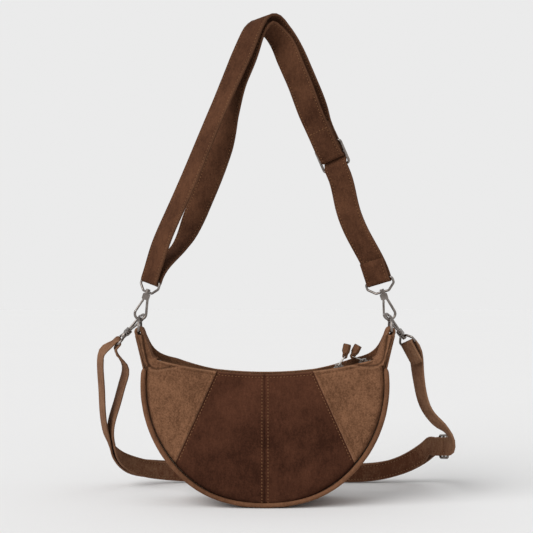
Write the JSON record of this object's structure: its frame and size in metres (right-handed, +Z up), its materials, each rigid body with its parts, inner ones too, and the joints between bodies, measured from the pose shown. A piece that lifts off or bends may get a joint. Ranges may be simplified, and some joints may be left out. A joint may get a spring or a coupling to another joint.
{
  "type": "half moon shoulder bag",
  "caption": "Half moon suede shoulder bag with piped gusset, arched zip mouth, D-rings in leather horns, and a wide and a thin adjustable strap on swivel snap hooks.",
  "frame": {"origin": "middle of the flat that the bag stands on", "axes": "+X to the wearer's view right seen from the front, +Y from the front to the back, +Z up"},
  "size_m": [0.425, 0.1663, 0.5592],
  "materials": {
    "tan_suede": "matt brushed nap",
    "dark_suede": "matt brushed nap",
    "gusset_suede": "matt brushed nap",
    "piping_suede": "matt brushed nap",
    "shoulder_strap_suede": "matt brushed nap",
    "crossbody_strap_suede": "matt brushed nap",
    "lining_fabric": "plain weave",
    "zip_tape_fabric": "twill tape",
    "zip_metal": "satin gunmetal",
    "pull_leather": "matt",
    "hardware_metal": "polished gunmetal nickel"
  },
  "bodies": {
    "bag": {"front_left_panel": "tan_suede", "front_right_panel": "tan_suede", "front_centre_left_panel": "dark_suede", "front_centre_right_panel": "dark_suede", "back_panel": "tan_suede", "gusset": "gusset_suede", "front_piping": "piping_suede", "back_piping": "piping_suede", "left_end_tab": "tan_suede", "right_end_tab": "tan_suede", "front_lining": "lining_fabric", "back_lining": "lining_fabric", "gusset_lining": "lining_fabric", "front_zip_tape": "zip_tape_fabric", "back_zip_tape": "zip_tape_fabric", "front_zip_teeth": "zip_metal", "back_zip_teeth": "zip_metal", "zip_end_stops": "zip_metal"},
    "left_zip_slider": {"left_zip_slider": "zip_metal"},
    "left_zip_pull": {"left_zip_pull_link": "zip_metal", "left_zip_pull_leather": "pull_leather"},
    "right_zip_slider": {"right_zip_slider": "zip_metal"},
    "right_zip_pull": {"right_zip_pull_link": "zip_metal", "right_zip_pull_leather": "pull_leather"},
    "left_d_ring": {"left_d_ring": "hardware_metal"},
    "right_d_ring": {"right_d_ring": "hardware_metal"},
    "shoulder_strap": {"shoulder_strap": "shoulder_strap_suede", "shoulder_strap_slider": "hardware_metal", "shoulder_left_eye": "hardware_metal", "shoulder_right_eye": "hardware_metal"},
    "crossbody_strap": {"crossbody_strap": "crossbody_strap_suede", "crossbody_strap_slider": "hardware_metal", "crossbody_left_eye": "hardware_metal", "crossbody_right_eye": "hardware_metal"},
    "shoulder_left_hook": {"shoulder_left_hook": "hardware_metal", "shoulder_left_gate_rivet": "hardware_metal"},
    "shoulder_left_gate": {"shoulder_left_gate": "hardware_metal"},
    "shoulder_right_hook": {"shoulder_right_hook": "hardware_metal", "shoulder_right_gate_rivet": "hardware_metal"},
    "shoulder_right_gate": {"shoulder_right_gate": "hardware_metal"},
    "crossbody_left_hook": {"crossbody_left_hook": "hardware_metal", "crossbody_left_gate_rivet": "hardware_metal"},
    "crossbody_left_gate": {"crossbody_left_gate": "hardware_metal"},
    "crossbody_right_hook": {"crossbody_right_hook": "hardware_metal", "crossbody_right_gate_rivet": "hardware_metal"},
    "crossbody_right_gate": {"crossbody_right_gate": "hardware_metal"}
  },
  "joints": [
    {"name": "left_zip_slider_run", "type": "hinge", "parent": "bag", "child": "left_zip_slider", "pos_m": [0, 0, 0.6295], "axis": [0, 1, 0], "range_deg": [0, 23]},
    {"name": "left_zip_pull_tip", "type": "hinge", "parent": "left_zip_slider", "child": "left_zip_pull", "pos_m": [0.08433, 0, 0.15575], "axis": [0, 1, 0], "range_deg": [-95, 0]},
    {"name": "right_zip_slider_run", "type": "hinge", "parent": "bag", "child": "right_zip_slider", "pos_m": [0, 0, 0.6295], "axis": [0, 1, 0], "range_deg": [0, 0.25]},
    {"name": "right_zip_pull_tip", "type": "hinge", "parent": "right_zip_slider", "child": "right_zip_pull", "pos_m": [0.11261, 0, 0.16166], "axis": [0, 1, 0], "range_deg": [0, 60]},
    {"name": "left_d_ring_tip", "type": "hinge", "parent": "bag", "child": "left_d_ring", "pos_m": [-0.144, 0, 0.1955], "axis": [0, 1, 0], "range_deg": [-4, 0]},
    {"name": "right_d_ring_tip", "type": "hinge", "parent": "bag", "child": "right_d_ring", "pos_m": [0.144, 0, 0.1955], "axis": [0, 1, 0], "range_deg": [0, 4]},
    {"name": "shoulder_strap_swing", "type": "hinge", "parent": "bag", "child": "shoulder_strap", "pos_m": [0, 0, 0.20921], "axis": [1, 0, 0], "range_deg": [-45, 75]},
    {"name": "crossbody_strap_swing", "type": "hinge", "parent": "bag", "child": "crossbody_strap", "pos_m": [0, 0.00959, 0.20933], "axis": [1, 0, 0], "range_deg": [0, 40]},
    {"name": "shoulder_left_hook_swivel", "type": "hinge", "parent": "shoulder_strap", "child": "shoulder_left_hook", "pos_m": [-0.14517, 0, 0.20921], "axis": [0.309, 0, 0.9511], "range_deg": [-20, 0]},
    {"name": "shoulder_left_gate_open", "type": "hinge", "parent": "shoulder_left_hook", "child": "shoulder_left_gate", "pos_m": [-0.13851, 0, 0.23491], "axis": [0, 1, 0], "range_deg": [-15, 0], "stiffness_Nm_per_rad": 0.002},
    {"name": "shoulder_right_hook_swivel", "type": "hinge", "parent": "shoulder_strap", "child": "shoulder_right_hook", "pos_m": [0.14517, 0, 0.20921], "axis": [-0.309, 0, 0.9511], "range_deg": [0, 20]},
    {"name": "shoulder_right_gate_open", "type": "hinge", "parent": "shoulder_right_hook", "child": "shoulder_right_gate", "pos_m": [0.13546, 0, 0.23392], "axis": [0, -1, 0], "range_deg": [0, 15], "stiffness_Nm_per_rad": 0.002},
    {"name": "crossbody_left_hook_swivel", "type": "hinge", "parent": "crossbody_strap", "child": "crossbody_left_hook", "pos_m": [-0.13984, 0.00929, 0.21351], "axis": [-0.7052, 0.051, -0.7072], "range_deg": [-6, 6]},
    {"name": "crossbody_left_gate_open", "type": "hinge", "parent": "crossbody_left_hook", "child": "crossbody_left_gate", "pos_m": [-0.15815, 0.00917, 0.19428], "axis": [0.6678, 0.3828, -0.6383], "range_deg": [-10, 0], "stiffness_Nm_per_rad": 0.002},
    {"name": "crossbody_right_hook_swivel", "type": "hinge", "parent": "crossbody_strap", "child": "crossbody_right_hook", "pos_m": [0.13993, 0.00933, 0.21452], "axis": [0.617, 0.04, -0.786], "range_deg": [-6, 6]},
    {"name": "crossbody_right_gate_open", "type": "hinge", "parent": "crossbody_right_hook", "child": "crossbody_right_gate", "pos_m": [0.15586, 0.0089, 0.19329], "axis": [0.7434, -0.3574, 0.5654], "range_deg": [-10, 0], "stiffness_Nm_per_rad": 0.002}
  ]
}
